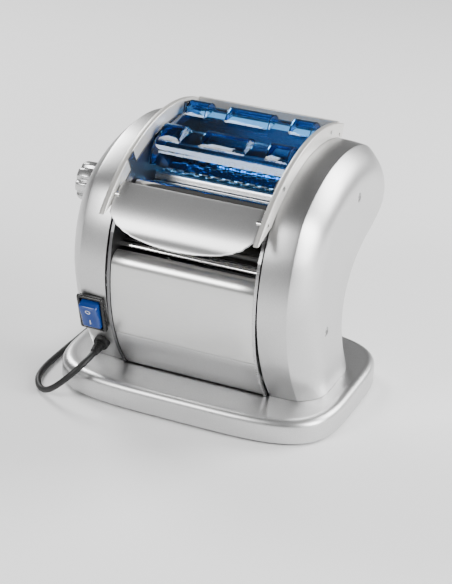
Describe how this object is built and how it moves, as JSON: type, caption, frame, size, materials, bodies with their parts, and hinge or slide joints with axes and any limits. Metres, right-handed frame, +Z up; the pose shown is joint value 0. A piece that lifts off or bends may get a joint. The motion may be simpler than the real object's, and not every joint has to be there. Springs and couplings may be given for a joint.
{
  "type": "electric pasta roller machine",
  "caption": "Motor-driven pasta roller with smooth rollers and ribbon cutters between crowned silver side casings on a broad base, with clear blue guard, gap knob and mains cord.",
  "frame": {"origin": "on the table below the middle of the base", "axes": "+X to the right along the rollers, +Y to the back, +Z up; the sheet comes out at -Y"},
  "size_m": [0.3293, 0.3592, 0.2806],
  "materials": {
    "satin_silver": "satin silver paint on moulded plastic",
    "satin_steel": "satin silver paint",
    "rail_silver": "satin",
    "black_cover": "satin black",
    "foot_rubber": "matte",
    "plated_steel": "zinc plated, fine grain",
    "polished_steel": "polished",
    "screw_steel": "bright",
    "chrome": "polished",
    "comb_bronze": "satin",
    "knob_silver": "satin metallised",
    "gear_steel": "oiled",
    "blue_clear": "clear, glossy",
    "switch_black": "glossy",
    "switch_blue": "glossy",
    "cord_black": "smooth PVC",
    "tie_black": "matte"
  },
  "bodies": {
    "chassis": {"base_shell": "satin_silver", "base_cover": "black_cover", "rubber_feet": "foot_rubber", "base_screws": "screw_steel", "left_side_plate": "plated_steel", "right_side_plate": "plated_steel", "plate_brackets": "plated_steel", "tie_rods": "plated_steel", "chassis_screws": "screw_steel", "left_casing": "satin_silver", "right_casing": "satin_silver", "casing_screws": "screw_steel", "arch_frame": "rail_silver", "apron": "polished_steel", "lower_front_panel": "satin_steel", "rear_cover": "satin_steel", "chute": "plated_steel", "hopper_dividers": "plated_steel", "outlet_rod": "chrome", "outlet_strip": "comb_bronze", "shaft_bushes": "comb_bronze", "cutter_combs": "comb_bronze", "roller_scraper": "comb_bronze", "gear_plate": "plated_steel", "gear_pillars": "plated_steel", "gear_pins": "chrome", "motor_housing": "black_cover", "motor_saddle": "plated_steel", "switch_frame": "switch_black", "strain_relief": "cord_black", "cord_lead": "cord_black", "cord_coil": "cord_black", "coil_tie": "tie_black", "cord_tail": "cord_black", "mains_plug": "cord_black"},
    "guard_body": {"guard": "blue_clear", "guard_pins": "screw_steel"},
    "panel": {"front_panel": "satin_steel", "panel_pins": "screw_steel"},
    "knob_body": {"knob": "knob_silver", "knob_shaft": "chrome"},
    "carriage": {"roller_carriage": "comb_bronze"},
    "fixed_roller_body": {"fixed_roller": "chrome", "fixed_roller_gears": "gear_steel"},
    "adjustable_roller_body": {"adjustable_roller": "chrome", "adjustable_roller_gear": "gear_steel"},
    "wide_front": {"wide_cutter_front": "chrome", "wide_front_gear": "gear_steel"},
    "wide_rear": {"wide_cutter_rear": "chrome", "wide_rear_gears": "gear_steel"},
    "fine_front": {"fine_cutter_front": "chrome", "fine_front_gears": "gear_steel"},
    "fine_rear": {"fine_cutter_rear": "chrome", "fine_rear_gear": "gear_steel"},
    "upper_idler": {"upper_idler_gear": "gear_steel"},
    "rear_idler": {"rear_idler_gear": "gear_steel"},
    "lower_reduction": {"lower_reduction_gear": "gear_steel"},
    "upper_reduction": {"upper_reduction_gear": "gear_steel"},
    "motor": {"motor_rotor": "gear_steel"},
    "rocker": {"switch_rocker": "switch_blue"}
  },
  "joints": [
    {"name": "motor_spin", "type": "hinge", "parent": "chassis", "child": "motor", "pos_m": [0, -0.032, 0.084], "axis": [-1, 0, 0], "continuous": true},
    {"name": "lower_reduction_spin", "type": "hinge", "parent": "chassis", "child": "lower_reduction", "pos_m": [0, -0.02242, 0.11031], "axis": [-1, 0, 0], "continuous": true},
    {"name": "upper_reduction_spin", "type": "hinge", "parent": "chassis", "child": "upper_reduction", "pos_m": [0, -0.03463, 0.14577], "axis": [-1, 0, 0], "continuous": true},
    {"name": "upper_idler_spin", "type": "hinge", "parent": "chassis", "child": "upper_idler", "pos_m": [0, -0.04651, 0.17413], "axis": [-1, 0, 0], "continuous": true},
    {"name": "fixed_roller_spin", "type": "hinge", "parent": "chassis", "child": "fixed_roller_body", "pos_m": [0, -0.052, 0.2135], "axis": [-1, 0, 0], "continuous": true},
    {"name": "rear_idler_spin", "type": "hinge", "parent": "chassis", "child": "rear_idler", "pos_m": [0, -0.01755, 0.20307], "axis": [-1, 0, 0], "continuous": true},
    {"name": "wide_front_spin", "type": "hinge", "parent": "chassis", "child": "wide_front", "pos_m": [0, 0.009, 0.208], "axis": [-1, 0, 0], "continuous": true},
    {"name": "wide_rear_spin", "type": "hinge", "parent": "chassis", "child": "wide_rear", "pos_m": [0, 0.033, 0.208], "axis": [-1, 0, 0], "continuous": true},
    {"name": "fine_front_spin", "type": "hinge", "parent": "chassis", "child": "fine_front", "pos_m": [0, 0.066, 0.208], "axis": [-1, 0, 0], "continuous": true},
    {"name": "fine_rear_spin", "type": "hinge", "parent": "chassis", "child": "fine_rear", "pos_m": [0, 0.09, 0.208], "axis": [-1, 0, 0], "continuous": true},
    {"name": "knob_turn", "type": "hinge", "parent": "chassis", "child": "knob_body", "pos_m": [-0.143, -0.022, 0.202], "axis": [1, 0, 0], "range_deg": [-57, 32]},
    {"name": "carriage_slide", "type": "slide", "parent": "chassis", "child": "carriage", "axis": [0, -0.9337, 0.3579], "range_m": [-0.00139, 0.00078]},
    {"name": "adjustable_roller_spin", "type": "hinge", "parent": "carriage", "child": "adjustable_roller_body", "pos_m": [0, -0.022, 0.202], "axis": [-1, 0, 0], "continuous": true},
    {"name": "guard_hinge", "type": "hinge", "parent": "chassis", "child": "guard_body", "pos_m": [0, 0.09, 0.26], "axis": [-1, 0, 0], "range_deg": [0, 75]},
    {"name": "front_panel_hinge", "type": "hinge", "parent": "chassis", "child": "panel", "pos_m": [0, -0.0945, 0.227], "axis": [-1, 0, 0], "range_deg": [0, 40]},
    {"name": "switch_rock", "type": "hinge", "parent": "chassis", "child": "rocker", "pos_m": [-0.099, -0.09465, 0.09707], "axis": [-1, 0, 0], "range_deg": [0, 19]}
  ],
  "couplings": [
    {"joint": "lower_reduction_spin", "follows": "motor_spin", "ratio": -0.27273},
    {"joint": "upper_reduction_spin", "follows": "motor_spin", "ratio": 0.10606},
    {"joint": "upper_idler_spin", "follows": "motor_spin", "ratio": -0.067879},
    {"joint": "fixed_roller_spin", "follows": "motor_spin", "ratio": 0.060606},
    {"joint": "rear_idler_spin", "follows": "motor_spin", "ratio": -0.084848},
    {"joint": "wide_front_spin", "follows": "motor_spin", "ratio": 0.10606},
    {"joint": "wide_rear_spin", "follows": "motor_spin", "ratio": -0.10606},
    {"joint": "fine_front_spin", "follows": "motor_spin", "ratio": 0.10606},
    {"joint": "fine_rear_spin", "follows": "motor_spin", "ratio": -0.10606},
    {"joint": "knob_turn", "follows": "carriage_slide", "rad_per_m": 714.29},
    {"joint": "adjustable_roller_spin", "follows": "motor_spin", "ratio": -0.060606}
  ]
}
